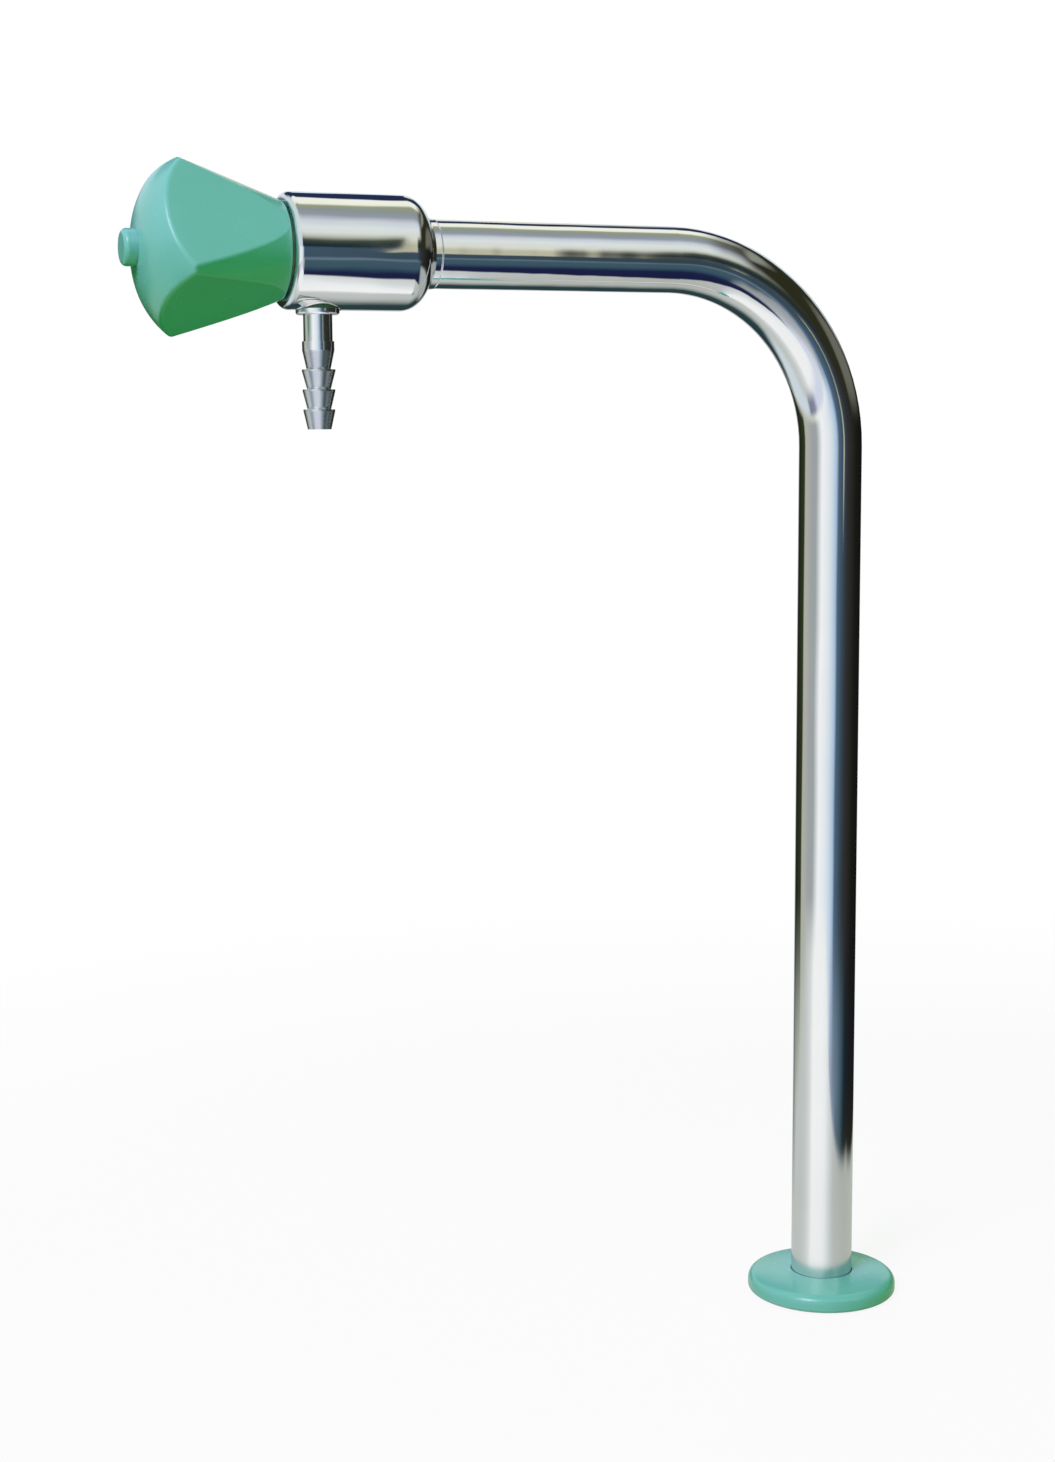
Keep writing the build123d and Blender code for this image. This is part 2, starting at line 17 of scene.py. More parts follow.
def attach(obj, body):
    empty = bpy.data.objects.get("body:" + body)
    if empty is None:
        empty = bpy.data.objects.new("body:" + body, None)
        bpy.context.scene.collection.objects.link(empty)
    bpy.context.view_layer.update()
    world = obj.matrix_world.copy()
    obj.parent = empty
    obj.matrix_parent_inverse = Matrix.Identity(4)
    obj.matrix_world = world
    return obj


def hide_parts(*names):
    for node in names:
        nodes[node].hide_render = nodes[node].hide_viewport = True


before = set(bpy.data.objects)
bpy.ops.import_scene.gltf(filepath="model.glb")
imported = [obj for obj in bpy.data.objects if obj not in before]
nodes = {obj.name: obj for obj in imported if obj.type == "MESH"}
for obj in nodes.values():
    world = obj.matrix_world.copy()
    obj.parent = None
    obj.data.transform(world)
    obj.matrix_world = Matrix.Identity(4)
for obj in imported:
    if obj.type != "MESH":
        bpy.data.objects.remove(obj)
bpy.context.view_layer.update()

# %% [markdown]
# ## The pipe thread
# The shank under the bench has a G 1/2 thread, which the exact solid leaves plain at its outside
# radius. A Screw modifier could sweep one tooth, but the tooth would stay a loose ribbon on a rod.
# Here the shank is turned in one closed skin instead: rings of points go up the outside and down the
# bore, and each point of the outside sinks by the tooth's depth where the helix passes.

# %% How deep the thread is cut
THREAD_PITCH, THREAD_DEPTH, THREAD_TOP = 0.001814, 0.00116, -0.0015
CREST_SHARE, FLANK_SLOPE = 1 / 6, 1.5
SHANK_RADIUS, SHANK_END, SHANK_CHAMFER = 0.0104775, -0.060, 0.0012
RELIEF_RADIUS, RELIEF_LOW, RELIEF_HIGH = 0.0096, -0.0350, -0.0332


def tooth(angle, height):
    """How deep the thread is cut here: a right-handed Whitworth form with a flat crest and root."""
    phase = (height / THREAD_PITCH - angle / tau) % 1.0
    flank = (abs(2 * phase - 1) - CREST_SHARE) * FLANK_SLOPE
    fade = min(1.0, max(0.0, (THREAD_TOP - height) / THREAD_PITCH))
    return THREAD_DEPTH * min(1.0, max(0.0, flank)) * fade


def shank_radius(angle, height):
    """Outside radius of the threaded length, after its tooth, relief groove and end chamfer."""
    radius = SHANK_RADIUS - tooth(angle, height)
    if RELIEF_LOW < height < RELIEF_HIGH:
        radius = min(radius, RELIEF_RADIUS)
    return min(radius, SHANK_RADIUS - SHANK_CHAMFER + height - SHANK_END)


thread_turns = (THREAD_TOP - SHANK_END) / THREAD_PITCH
print("thread:", round(thread_turns, 1), "turns,", round(THREAD_DEPTH * 1000, 2), "mm deep")

# %% The shank's skin
SHANK_BORE = 0.0075
FLANGE_RADIUS, FLANGE_LOW, FLANGE_HIGH = 0.017, 0.0016, 0.0042
SPIGOT_RADIUS, SPIGOT_TOP = 0.00945, 0.0182
RING_POINTS, RINGS_PER_TURN = 96, 12
SHARP_FOLD = radians(38)


def turned_skin(name, rings):
    """A closed skin through rings, each given as a height and a radius for every angle."""
    skin = bmesh.new()
    angles = [tau * i / RING_POINTS for i in range(RING_POINTS)]
    loops = [[skin.verts.new((radius_at(angle) * cos(angle), radius_at(angle) * sin(angle), height))
              for angle in angles] for height, radius_at in rings]
    for lower, upper in zip(loops, loops[1:] + loops[:1]):
        for i in range(RING_POINTS):
            after = (i + 1) % RING_POINTS
            skin.faces.new((lower[i], lower[after], upper[after], upper[i])).smooth = True
    skin.normal_update()
    for edge in skin.edges:
        edge.smooth = edge.calc_face_angle(0.0) < SHARP_FOLD
    mesh = bpy.data.meshes.new(name)
    skin.to_mesh(mesh)
    skin.free()
    made = bpy.data.objects.new(name, mesh)
    bpy.context.scene.collection.objects.link(made)
    return made


def plain(radius):
    """The same radius at every angle."""
    return lambda angle: radius


def cut(height):
    """The threaded outside at one height."""
    return lambda angle: shank_radius(angle, height)


steps = round(thread_turns * RINGS_PER_TURN)
heights = [SHANK_END + (THREAD_TOP - SHANK_END) * i / steps for i in range(steps + 1)]
outside = [(height, cut(height)) for height in heights]
flange = [(FLANGE_LOW, plain(SHANK_RADIUS)), (FLANGE_LOW, plain(FLANGE_RADIUS)),
          (FLANGE_HIGH, plain(FLANGE_RADIUS)), (FLANGE_HIGH, plain(SPIGOT_RADIUS))]
spigot = [(SPIGOT_TOP, plain(SPIGOT_RADIUS)), (SPIGOT_TOP, plain(SHANK_BORE)), (SHANK_END, plain(SHANK_BORE))]
shank_skin = turned_skin("threaded_shank_skin", outside + flange + spigot)
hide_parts("threaded_shank")
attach(shank_skin, "tap_body")
print("shank's skin:", len(outside), "rings outside,", len(shank_skin.data.polygons), "faces")

# %% [markdown]
# ## Shader maths that reads like arithmetic
# A finish is mostly arithmetic on noise and coordinates. Wiring every sum by hand hides the idea, so
# one small class wraps a socket and turns `1 - mask * 0.3` into Math nodes. Everything that isn't
# plain arithmetic comes from one method that takes the node's type, its settings and its sockets.

# %% Signal: one value in a node tree
class Signal:
    """A socket in a node tree. Arithmetic on it adds Math nodes."""

    def __init__(self, tree, socket):
        self.tree, self.socket = tree, socket

    def feed(self, target, value):
        """Writes a number, a colour or another signal into a socket."""
        if isinstance(value, Signal):
            self.tree.links.new(value.socket, target)
        else:
            target.default_value = value

    def maths(self, operation, *values):
        """One Math node on the given values."""
        node = self.tree.nodes.new("ShaderNodeMath")
        node.operation = operation
        for socket, value in zip(node.inputs, values):
            self.feed(socket, value)
        return Signal(self.tree, node.outputs[0])

    def node(self, kind, settings=None, sockets=None, output=0):
        """Any other node: its type, the settings made first, then its sockets."""
        made = self.tree.nodes.new("ShaderNode" + kind)
        for name, value in (settings or {}).items():
            if name == "stops":
                write_stops(made.color_ramp, value)
            else:
                setattr(made, name, value)
        for name, value in (sockets or {}).items():
            self.feed(made.inputs[name], value)
        return Signal(self.tree, made.outputs[output])

    def beside(self, output):
        """Another output of the node that this value comes from."""
        return Signal(self.tree, self.socket.node.outputs[output])

    def between(self, value, low, high):
        """A smooth mask that rises from 0 at low to 1 at high."""
        return self.node("MapRange", {"interpolation_type": "SMOOTHSTEP"},
                         {"Value": value, "From Min": low, "From Max": high})

    def blend(self, mask, first, second):
        """Two colours mixed by a mask."""
        return self.node("Mix", {"data_type": "RGBA"}, {0: mask, 6: first, 7: second}, output=2)

    def __add__(self, other): return self.maths("ADD", self, other)
    def __radd__(self, other): return self.maths("ADD", other, self)
    def __sub__(self, other): return self.maths("SUBTRACT", self, other)
    def __rsub__(self, other): return self.maths("SUBTRACT", other, self)
    def __mul__(self, other): return self.maths("MULTIPLY", self, other)
    def __rmul__(self, other): return self.maths("MULTIPLY", other, self)
    def __truediv__(self, other): return self.maths("DIVIDE", self, other)
    def __rtruediv__(self, other): return self.maths("DIVIDE", other, self)
    def __neg__(self): return self.maths("MULTIPLY", self, -1.0)


def write_stops(ramp, stops):
    """Replaces a ramp's stops by (position, colour) pairs."""
    while len(ramp.elements) > 1:
        ramp.elements.remove(ramp.elements[-1])
    for index, (position, colour) in enumerate(stops):
        stop = ramp.elements[0] if index == 0 else ramp.elements.new(position)
        stop.position, stop.color = position, colour


print("signal arithmetic ready")

# %% Finish: a material under construction
class Finish(Signal):
    """A new material with its Principled shader and the place on the object as its coordinates."""

    def __init__(self, name):
        self.material = bpy.data.materials.new(name)
        self.material.use_nodes = True
        tree = self.material.node_tree
        self.shader = tree.nodes["Principled BSDF"]
        super().__init__(tree, self.shader.outputs[0])
        self.place = self.node("TexCoord", output=3)

    def across(self, x=1.0, y=1.0, z=1.0):
        """The object's coordinates, stretched along each axis."""
        return self.node("VectorMath", {"operation": "MULTIPLY"}, {0: self.place, 1: (x, y, z)})

    def height(self):
        """How far above the deck each point is, in metres."""
        return self.node("SeparateXYZ", {}, {0: self.place}, output=2)

    def noise(self, scale, detail=2.0, where=None, roughness=0.5):
        """Soft noise from 0 to 1."""
        return self.node("TexNoise", {}, {"Vector": where or self.place, "Scale": scale, "Detail": detail,
                                          "Roughness": roughness})

    def rings(self, axis, scale, distortion):
        """Turning rings, as waves along one axis."""
        return self.node("TexWave", {"bands_direction": axis},
                         {"Vector": self.place, "Scale": scale, "Distortion": distortion})

    def relief(self, height, distance, strength=1.0, under=None):
        """A Bump node, on top of another one if given."""
        sockets = {"Height": height, "Distance": distance, "Strength": strength}
        if under:
            sockets["Normal"] = under
        return self.node("Bump", {}, sockets)

    def set(self, **values):
        """Writes the shader's sockets; an underscore stands for a space."""
        for name, value in values.items():
            self.feed(self.shader.inputs[name.replace("_", " ")], value)
        return self.material


def dress(material, *names):
    """Gives CAD nodes a finish in every material slot."""
    for name in names:
        for slot in nodes[name].material_slots:
            slot.material = material
    print(material.name, "on", ", ".join(names))


print("finish class ready")

# %% [markdown]
# ## Steel
# The neck and the barrel are polished. Polishing leaves three marks: a slow waviness that makes
# reflected edges wander, a fine haze, and a few hairlines. The colour of steel hardly changes, so the
# waviness goes into the bump and the haze into the roughness. Painting the bands on would look right
# from one side only. The foot of the column is duller, because hands and cloths reach it most. The
# nozzle has a polished stem above satin barbs, and parts that nobody sees keep their turning rings.

# %% Polished and satin steel
HANDLED_TOP, HANDLED_FADE = 0.075, 0.06
STEM_END, STEM_FADE = 0.3398, 0.0008


def polished_steel(name, wave_place):
    """Mirror-polished stainless steel; wave_place stretches the waviness along the part."""
    steel = Finish(name)
    waves = steel.noise(1.0, 1.0, steel.across(*wave_place))
    hairlines = steel.noise(900.0, 3.0, steel.across(0.25, 1.0, 1.0), 0.7)
    haze = steel.noise(34.0, 4.0, roughness=0.62)
    smudge = steel.between(steel.noise(11.0, 3.0), 0.52, 0.72)
    handled = steel.between(HANDLED_TOP - steel.height(), 0.0, HANDLED_FADE)
    colour = steel.blend(haze, (0.74, 0.74, 0.74, 1), (0.82, 0.82, 0.82, 1))
    relief = steel.relief(hairlines, 0.000004, 0.25)
    relief = steel.relief(waves, 0.0006, 0.5, relief)
    return steel.set(Base_Color=colour, Metallic=1.0, Normal=relief,
                     Roughness=0.03 + haze * 0.03 + smudge * 0.03 + handled * 0.17)


def satin_steel(name):
    """A turned nozzle: its stem is polished, and its barbs are left with a satin skin."""
    steel = Finish(name)
    rings = steel.noise(1.0, 3.0, steel.across(90.0, 90.0, 2600.0), 0.6)
    haze = steel.noise(150.0, 3.0)
    barbed = steel.between(STEM_END - steel.height(), 0.0, STEM_FADE)
    polished = steel.blend(haze, (0.78, 0.78, 0.78, 1), (0.86, 0.86, 0.86, 1))
    satin = steel.blend(haze, (0.62, 0.63, 0.65, 1), (0.72, 0.73, 0.75, 1))
    return steel.set(Base_Color=steel.blend(barbed, polished, satin), Metallic=1.0,
                     Roughness=0.12 + barbed * 0.11 + haze * 0.06,
                     Normal=steel.relief(rings, 0.00002, 0.5))


dress(polished_steel("polished_tube_steel", (60.0, 60.0, 14.0)), "swan_neck_tube")
dress(polished_steel("polished_barrel_steel", (40.0, 90.0, 90.0)), "valve_barrel")
dress(satin_steel("satin_nozzle_steel"), "hose_nozzle")

# %% Turned steel
def turned_steel(name):
    """Steel straight from the lathe: close rings around the part and a duller skin."""
    steel = Finish(name)
    rings = steel.rings("Z", 900.0, 1.5)
    grain = steel.noise(160.0, 4.0)
    colour = steel.blend(grain, (0.50, 0.50, 0.51, 1), (0.62, 0.62, 0.62, 1))
    return steel.set(Base_Color=colour, Metallic=1.0, Roughness=0.24 + grain * 0.12,
                     Normal=steel.relief(rings, 0.00002, 0.5))


lathe_steel = turned_steel("turned_steel")
shank_skin.data.materials.append(lathe_steel)
dress(lathe_steel, "threaded_shank", "lock_nut", "clamp_washer", "headwork_bonnet", "spindle",
      "spindle_circlip", "handle_screw", "screw_spring_washer")

# %% [markdown]
# ## Plastic, rubber, polymer, ceramic and brass
# Knob, cap and rosette are moulded in one turquoise plastic. It is glossy but not a mirror: the mould
# leaves a faint orange peel, the pigment is a little uneven, and handling leaves fine scuffs. A thin
# coat gives the glints on the edges. The smaller materials follow the same plan, one noise or wave
# that varies colour, roughness and bump together. The seal above the nozzle is dressed in a dark grey
# polymer as painted shade, so that it reads as the thin shadow line in the joint above the nozzle.

# %% Plastic, rubber and polymer
def green_plastic(name):
    """Glossy turquoise moulding."""
    plastic = Finish(name)
    pigment = plastic.noise(55.0, 4.0)
    peel = plastic.noise(420.0, 2.0)
    scuffs = plastic.between(plastic.noise(1500.0, 2.0, plastic.across(1.0, 0.15, 0.4)), 0.62, 0.78)
    colour = plastic.blend(pigment, (0.145, 0.435, 0.450, 1), (0.175, 0.485, 0.505, 1))
    return plastic.set(Base_Color=colour, Roughness=0.20 + pigment * 0.06 + scuffs * 0.08,
                       Coat_Weight=0.20, Coat_Roughness=0.08, Normal=plastic.relief(peel, 0.00003, 0.3))


def soft_rubber(name):
    """Matt black elastomer with a grainy skin."""
    rubber = Finish(name)
    grain = rubber.noise(700.0, 3.0)
    colour = rubber.blend(grain, (0.018, 0.018, 0.019, 1), (0.045, 0.045, 0.046, 1))
    return rubber.set(Base_Color=colour, Roughness=0.62 + grain * 0.2,
                      Normal=rubber.relief(grain, 0.00003, 0.6))


def sealing_polymer(name, low, high):
    """Waxy sealing polymer between two shades."""
    polymer = Finish(name)
    cloud = polymer.noise(240.0, 3.0)
    return polymer.set(Base_Color=polymer.blend(cloud, low, high), Roughness=0.42 + cloud * 0.1,
                       Normal=polymer.relief(cloud, 0.00002, 0.3))


white_seal = sealing_polymer("white_polymer", (0.74, 0.74, 0.70, 1), (0.84, 0.84, 0.81, 1))
# Painted shade: a dark grey seal that stands for the shadow line in the joint above the nozzle.
shadow_line_seal = sealing_polymer("shadow_line_polymer", (0.12, 0.12, 0.12, 1), (0.17, 0.17, 0.17, 1))
dress(green_plastic("green_plastic"), "base_rosette", "handle", "handle_cap")
dress(soft_rubber("soft_rubber"), "rosette_o_ring", "deck_gasket", "under_deck_washer", "seat_seal",
      "spindle_o_rings")
dress(white_seal, "bonnet_gasket", "thrust_washer", "travel_stop")
dress(shadow_line_seal, "nozzle_seal")

# %% Ceramic and brass
def disc_ceramic(name):
    """Lapped ivory ceramic with fine dark specks."""
    ceramic = Finish(name)
    specks = ceramic.between(ceramic.noise(2600.0, 1.0), 0.68, 0.74)
    colour = ceramic.blend(specks, (0.83, 0.81, 0.75, 1), (0.55, 0.52, 0.46, 1))
    return ceramic.set(Base_Color=colour, Roughness=0.16 + specks * 0.2)


def machined_brass(name):
    """Brass with turning rings."""
    brass = Finish(name)
    rings = brass.rings("X", 1200.0, 1.0)
    tarnish = brass.noise(180.0, 4.0)
    colour = brass.blend(tarnish, (0.52, 0.36, 0.13, 1), (0.70, 0.52, 0.22, 1))
    return brass.set(Base_Color=colour, Metallic=1.0, Roughness=0.24 + tarnish * 0.14,
                     Normal=brass.relief(rings, 0.00002, 0.4))


dress(disc_ceramic("disc_ceramic"), "fixed_ceramic_disc", "moving_ceramic_disc")
dress(machined_brass("machined_brass"), "handle_insert")

# %% [markdown]
# ## The camera
# The place of the camera was worked out from the outline of the column, arm, barrel and foot in the
# photograph. It stands in front and to the knob's side, a little lower than the arm, and looks
# slightly down. Its axes are written as a matrix, so that the small roll is kept.

# %% Camera
PHOTO_HEIGHT, FOCAL_PIXELS, SENSOR_HEIGHT = 1462, 2283.8, 36.0
camera_place = Vector((-0.40731, -0.70514, 0.31583))
camera_turn, camera_fall, camera_roll = radians(-22.47), radians(7.64), radians(-0.37)
back = Vector((sin(camera_turn) * cos(camera_fall), -cos(camera_turn) * cos(camera_fall), sin(camera_fall)))
level = Vector((cos(camera_turn), sin(camera_turn), 0.0))
up = back.cross(level)
side = level * cos(camera_roll) + up * sin(camera_roll)
head = up * cos(camera_roll) - level * sin(camera_roll)
camera = bpy.data.objects.new("camera", bpy.data.cameras.new("camera"))
bpy.context.scene.collection.objects.link(camera)
camera.matrix_world = Matrix.Translation(camera_place) @ Matrix((side, head, back)).transposed().to_4x4()
camera.data.sensor_width = SENSOR_HEIGHT
camera.data.lens = FOCAL_PIXELS * SENSOR_HEIGHT / PHOTO_HEIGHT
bpy.context.scene.camera = camera
print("focal length", round(camera.data.lens, 2), "mm")

# %% [markdown]
# ## The studio
# Polished steel shows what stands around it, so the room decides how the tap looks. It is painted by
# direction: one ramp runs round the horizon as the column sees it, another for lower directions, and
# a third runs over the head as the arm and the barrel see it, white above, navy in front and black
# to the right. Only reflections see this room. The camera sees plain white, and matt surfaces get an
# even green-tinted light, which leaves the plastic deep green where the lamps don't reach it.

# %% Directions in the room
world = bpy.data.worlds.new("studio")
bpy.context.scene.world = world
world.use_nodes = True
background = world.node_tree.nodes["Background"]
room = Signal(world.node_tree, background.outputs[0])
rise, mixed = room.between, room.blend
direction = room.node("SeparateXYZ", {}, {0: room.node("TexCoord")})
look_x, look_y, look_z = (direction.beside(axis) for axis in range(3))
facing = look_x * sin(camera_turn) - look_y * cos(camera_turn)
rightward = look_x * level.x + look_y * level.y
around = room.maths("ARCTAN2", rightward, facing) / tau + 0.5
over = room.maths("ARCTAN2", look_z, -look_y) / tau + 0.5


def turn(angle):
    """A ramp's position for an angle in degrees, measured from the front."""
    return angle / 360 + 0.5


def bands(*stops):
    """Ramp stops from (angle, red, green, blue)."""
    return {"stops": [(turn(angle), (*colour, 1)) for angle, *colour in stops]}


print("the front is at", turn(0), "and the right side at", turn(90), "of a ramp")

# %% Bands round the horizon
far_horizon = room.node("ValToRGB", bands(
    (-180, 0.55, 0.57, 0.57), (-171, 0.50, 0.52, 0.52), (-160, 0.012, 0.014, 0.010),
    (-115, 0.034, 0.049, 0.021), (-109, 0.52, 0.54, 0.44), (-93, 0.50, 0.52, 0.46),
    (-76, 0.42, 0.45, 0.48), (-58, 0.42, 0.46, 0.46), (-45, 0.81, 0.84, 0.86), (-36, 1.09, 1.12, 1.14),
    (-14, 0.97, 1.02, 1.06), (0, 0.79, 0.91, 1.0), (13, 0.56, 0.72, 0.92), (18, 0.45, 0.60, 0.80),
    (25, 0.09, 0.16, 0.25), (45, 0.045, 0.08, 0.11), (60, 0.038, 0.038, 0.045), (78, 0.026, 0.026, 0.023),
    (102, 0.012, 0.012, 0.011), (159, 0.006, 0.006, 0.005), (170, 0.50, 0.52, 0.53),
    (180, 0.55, 0.57, 0.57)), {0: around})
near_horizon = room.node("ValToRGB", bands(
    (-180, 0.58, 0.60, 0.60), (-168, 0.50, 0.52, 0.52), (-156, 0.16, 0.18, 0.16),
    (-147, 0.40, 0.43, 0.40), (-118, 0.58, 0.60, 0.53), (-93, 0.64, 0.70, 0.63), (-76, 0.67, 0.71, 0.64),
    (-58, 0.78, 0.82, 0.75), (-46, 1.08, 1.10, 1.07), (-14, 1.03, 1.07, 1.08), (0, 0.97, 1.05, 1.08),
    (8, 0.80, 0.88, 0.95), (14, 0.42, 0.51, 0.64), (30, 0.20, 0.28, 0.39), (45, 0.14, 0.22, 0.29),
    (60, 0.06, 0.12, 0.16), (76, 0.010, 0.024, 0.036), (102, 0.014, 0.015, 0.018),
    (159, 0.009, 0.010, 0.010), (170, 0.52, 0.54, 0.55), (180, 0.58, 0.60, 0.60)), {0: around})
horizon = mixed(rise(-look_z, 0.20, 0.29), far_horizon, near_horizon)
print("horizon stops:", [len(ramp.socket.node.color_ramp.elements) for ramp in (far_horizon, near_horizon)])

# %% Bands overhead and below
overhead = room.node("ValToRGB", bands(
    (-180, 0.02, 0.04, 0.05), (-112, 0.03, 0.07, 0.07), (-66, 0.012, 0.016, 0.07), (-46, 0.014, 0.020, 0.07),
    (-33, 0.05, 0.11, 0.16), (-18, 0.07, 0.12, 0.15), (-4, 0.012, 0.036, 0.062), (8, 0.012, 0.028, 0.040),
    (15, 0.03, 0.05, 0.05), (20, 0.08, 0.10, 0.07), (28, 0.62, 0.66, 0.56), (34, 0.84, 0.89, 0.86),
    (44, 0.88, 0.95, 0.95), (58, 0.74, 0.79, 0.86), (70, 0.36, 0.40, 0.47), (84, 0.32, 0.37, 0.37),
    (97, 0.38, 0.41, 0.27), (104, 1.06, 1.10, 0.92), (121, 1.08, 1.10, 1.02), (125, 0.02, 0.03, 0.09),
    (180, 0.02, 0.03, 0.08)), {0: over})

# To the right the room is dark, with a dim wall at its end, a light floor and a faint light above.
overhead = mixed(rise(look_x, 0.50, 0.72), overhead, (0.030, 0.030, 0.016, 1))
overhead = mixed(rise(look_x, 0.86, 0.93) * rise(look_z, 0.0, 0.20), overhead, (0.17, 0.17, 0.14, 1))
overhead = mixed(rise(look_x, 0.56, 0.70) * rise(-look_z, 0.33, 0.45), overhead, (0.46, 0.50, 0.50, 1))
overhead = mixed(rise(look_x, 0.66, 0.72) * rise(look_z, 0.58, 0.66), overhead, (0.30, 0.32, 0.27, 1))

# Behind the tap and on the knob's side it is light.
behind = rise(look_y, 0.45, 0.70) * rise(look_z, 0.12, 0.25) * rise(-look_z, -0.46, -0.38)
overhead = mixed(behind, overhead, (0.80, 0.92, 1.0, 1))
overhead = mixed(rise(-look_x, 0.15, 0.45), overhead, (0.74, 0.84, 0.90, 1))

# The slanting sides of the barbs see a strip of their own, below the camera.
below = room.node("ValToRGB", bands(
    (-72, 0.24, 0.26, 0.34), (-50, 0.28, 0.30, 0.42), (-36, 0.78, 0.83, 1.00), (6, 0.80, 0.86, 0.98),
    (20, 0.50, 0.54, 0.60), (34, 0.36, 0.40, 0.42)), {0: around})
barbward = rise(-look_z, 0.20, 0.27) * rise(look_z, -0.72, -0.62) * rise(around, turn(-80), turn(-66))
overhead = mixed(barbward * rise(-around, -turn(40), -turn(33)), overhead, below)
print("room so far:", len(world.node_tree.nodes), "nodes")

# %% The whole room
steep = rise(look_z, 0.04, 0.14) + rise(-look_z, 0.27, 0.34)

# One soft light patch, which the arm mirrors, pales upwards and darkens towards the bend.
patch = rise(look_x, 0.336, 0.346) * rise(-look_x, -0.48, -0.37)
patch = patch * rise(look_z, -0.06, -0.01) * rise(-look_z, -0.62, -0.50)
patch_low = mixed(rise(look_x, 0.385, 0.435), (0.64, 0.63, 0.46, 1), (0.13, 0.13, 0.08, 1))
patch_colour = mixed(rise(look_z, 0.15, 0.40), patch_low, (0.88, 0.90, 0.82, 1))
reflected = mixed(patch, mixed(steep, horizon, overhead), patch_colour)

# Each kind of ray gets its own view of the room.
SHADE_LIGHT, PLAIN_WHITE = (0.07, 0.60, 0.08, 1), (1, 1, 1, 1)
rays = room.node("LightPath")
camera_ray, glossy_ray, clear_ray = (
    rays.beside(name) for name in ("Is Camera Ray", "Is Glossy Ray", "Is Transmission Ray"))
ambient = mixed(glossy_ray, SHADE_LIGHT, reflected)
seen = mixed(room.maths("MAXIMUM", camera_ray, clear_ray), ambient, PLAIN_WHITE)
room.feed(background.inputs["Color"], seen)
print("room painted with", len(world.node_tree.nodes), "nodes")

# %% [markdown]
# ## Floor
# The tap stands on a white bench. It has to look white without more light on the tap, so most of it
# glows for the camera, and a tenth is matt white that keeps a faint shadow. Other rays see the matt
# part green, so the light it throws back onto the tap is a painted green shade light. Polished steel
# sees the bench as a painted glow that is brightest in front and dimmer to the sides and behind, so
# that the foot of the column turns silvery. Towards its edge the bench thins out into the white room,
# and where the arm would mirror it too far up, reflections miss it.

# %% Floor
FLOOR_RADIUS, FLOOR_SIDES = 1.6, 48


def bench_floor():
    """A flat disc at deck height."""
    angles = [tau * i / FLOOR_SIDES for i in range(FLOOR_SIDES)]
    points = [(0.0, 0.0, 0.0)] + [(FLOOR_RADIUS * cos(a), FLOOR_RADIUS * sin(a), 0.0) for a in angles]
    faces = [(0, 1 + i, 1 + (i + 1) % FLOOR_SIDES) for i in range(FLOOR_SIDES)]
    mesh = bpy.data.meshes.new("bench_floor")
    mesh.from_pydata(points, [], faces)
    made = bpy.data.objects.new("bench_floor", mesh)
    bpy.context.scene.collection.objects.link(made)
    return made


floor = bench_floor()
print("floor of", len(floor.data.polygons), "faces, radius", FLOOR_RADIUS, "m")

# %% The floor's light
CAMERA_GLOW, MIRROR_GLOW = 0.90, 0.97
BENCH_WHITE, CHALK_WHITE, GREEN_BOUNCE = (0.995, 0.97, 0.995, 1), (0.90, 0.90, 0.90, 1), (0.12, 0.46, 0.12, 1)
white = Finish("bench_white")
spot = white.node("SeparateXYZ", {}, {0: white.place})
east, north = spot.beside(0), spot.beside(1)
ahead = east * sin(camera_turn) - north * cos(camera_turn)
aside = east * level.x + north * level.y
# Painted light in reflections: the bench glows brightest in front and dimmer to the sides and behind.
painted_bench_glow = white.node("ValToRGB", bands(
    (-180, 0.62, 0.64, 0.62), (-93, 0.65, 0.68, 0.67), (-76, 0.70, 0.73, 0.73), (-60, 0.84, 0.86, 0.87),
    (-46, 1.13, 1.13, 1.14), (-14, 1.11, 1.12, 1.14), (0, 1.05, 1.07, 1.09), (13, 0.84, 0.87, 0.89),
    (30, 0.63, 0.65, 0.66), (46, 0.60, 0.62, 0.60), (80, 0.56, 0.58, 0.54), (180, 0.58, 0.60, 0.57)),
    {0: white.maths("ARCTAN2", aside, ahead) / tau + 0.5})
path = white.node("LightPath")
from_camera, from_gloss = path.beside("Is Camera Ray"), path.beside("Is Glossy Ray")
# For every ray but the camera's the matt floor is green, so the light it throws back paints the tap's shaded
# undersides green.
bounce = white.node("BsdfDiffuse", {}, {"Color": GREEN_BOUNCE})
chalk = white.node("BsdfDiffuse", {}, {"Color": CHALK_WHITE})
matt = white.node("MixShader", {}, {0: from_camera, 1: bounce, 2: chalk})
white.set(Base_Color=(0, 0, 0, 1), Specular_IOR_Level=0.0, Roughness=1.0, Emission_Strength=1.0,
          Emission_Color=white.blend(from_gloss, BENCH_WHITE, painted_bench_glow))
glow = from_camera * CAMERA_GLOW + from_gloss * MIRROR_GLOW
lit = white.node("MixShader", {}, {0: glow, 1: matt, 2: white})
print("floor glows", CAMERA_GLOW, "for the camera and", MIRROR_GLOW, "in reflections")

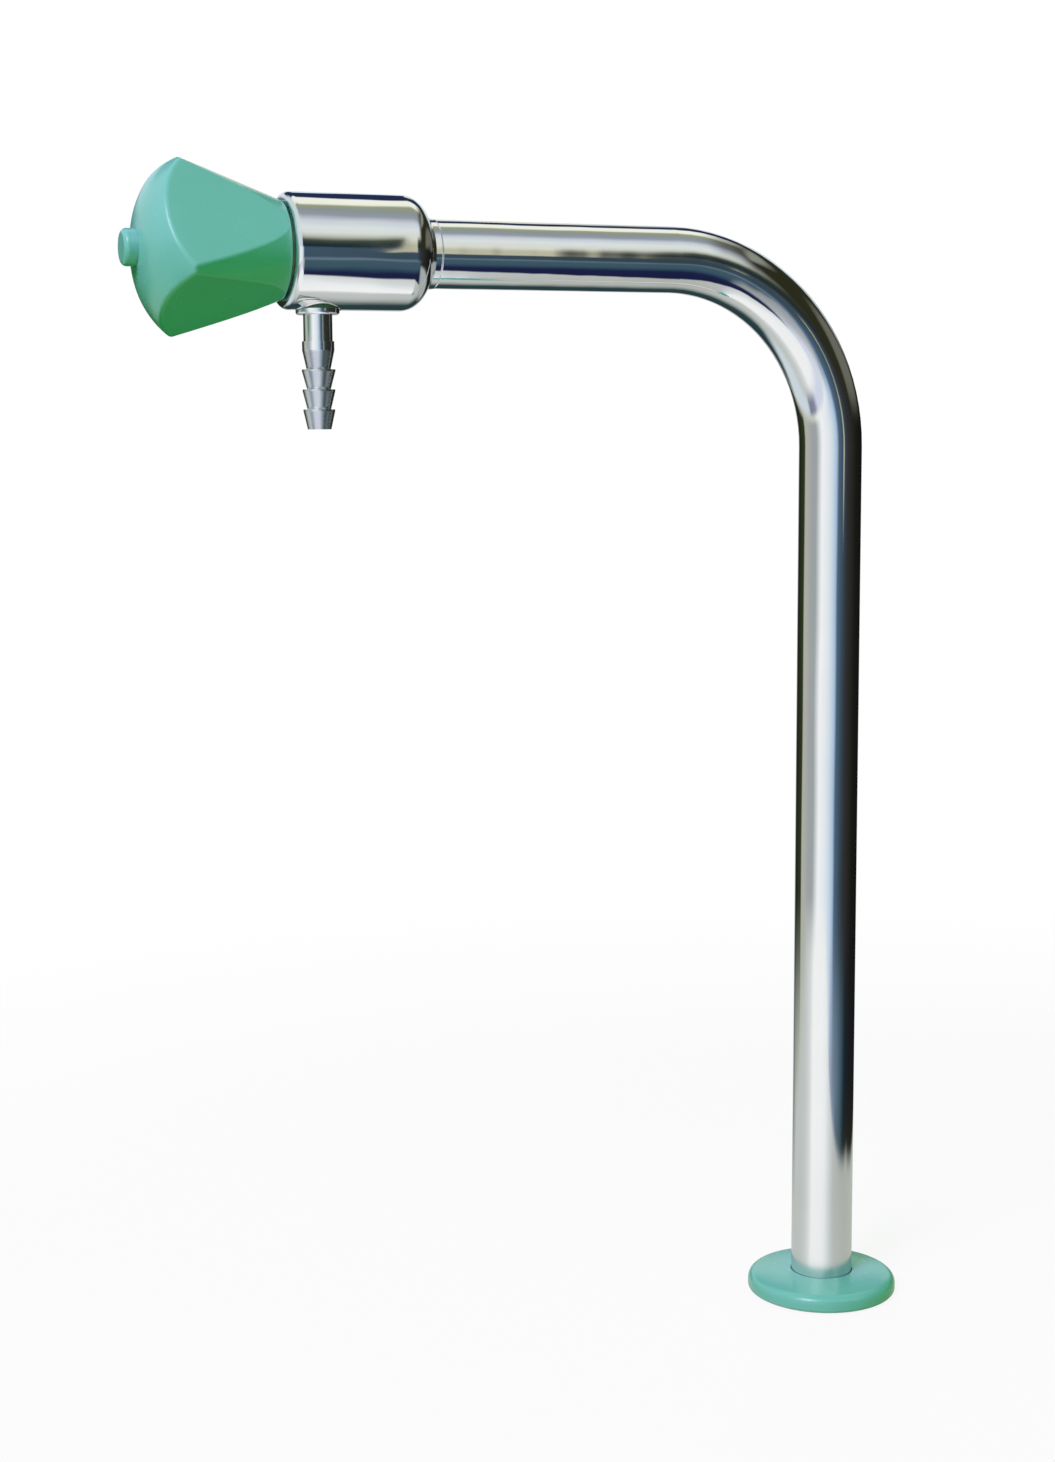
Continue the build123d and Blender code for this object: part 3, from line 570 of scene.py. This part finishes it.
# %% The floor's edge
distance = white.node("VectorMath", {"operation": "LENGTH"}, {0: white.place}, output=1)
thin = white.between(distance, 0.30, 0.75) * from_camera
ends = white.maths("MAXIMUM", white.between(east * 1.1 - north, 0.22, 0.27), white.between(east, 0.14, 0.18))
ends = white.maths("MAXIMUM", ends, white.between(north, 0.06, 0.30))
gone = white.maths("MAXIMUM", ends, white.between(distance, 0.50, 0.75)) * from_gloss
clear = white.node("BsdfTransparent")
surface = white.node("MixShader", {}, {0: white.maths("MAXIMUM", thin, gone), 1: lit, 2: clear})
white.feed(white.tree.nodes["Material Output"].inputs["Surface"], surface)
floor.data.materials.append(white.material)
print("floor dressed with", len(white.tree.nodes), "nodes")

# %% [markdown]
# ## Lamps
# One broad soft lamp, in front and above on the knob's side, gives the plastic its shape. Its tint
# answers the green of the room, so that the lit side of the plastic renders as it is written. It
# makes no glints: a second, white lamp in its place does that alone. A weaker lamp behind keeps the
# back from going dark.

# %% Lamps
KEY_PLACE, BACK_PLACE, AIM = (-2.04, -1.44, 2.31), (1.20, 2.20, 0.50), (-0.12, 0.0, 0.20)
LAMP_SIDE, TINT, WHITE = 1.20, (1.0, 0.61, 1.0), (1.0, 1.0, 1.0)


def lamp(name, place, watts, colour):
    """A square area lamp that looks at the tap."""
    light = bpy.data.lights.new(name, "AREA")
    light.shape, light.size = "SQUARE", LAMP_SIDE
    light.energy, light.color = watts, colour
    made = bpy.data.objects.new(name, light)
    made.location = place
    made.rotation_mode = "QUATERNION"
    made.rotation_quaternion = (Vector(place) - Vector(AIM)).to_track_quat("Z", "Y")
    bpy.context.scene.collection.objects.link(made)
    print(name, watts, "W, colour", colour)
    return made


key_lamp = lamp("key_lamp", KEY_PLACE, 106.0, TINT)
glint_lamp = lamp("glint_lamp", KEY_PLACE, 60.0, WHITE)
back_lamp = lamp("back_lamp", BACK_PLACE, 40.0, TINT)
key_lamp.visible_glossy = back_lamp.visible_glossy = False
glint_lamp.visible_diffuse = False
bpy.context.scene.view_settings.view_transform = "Standard"
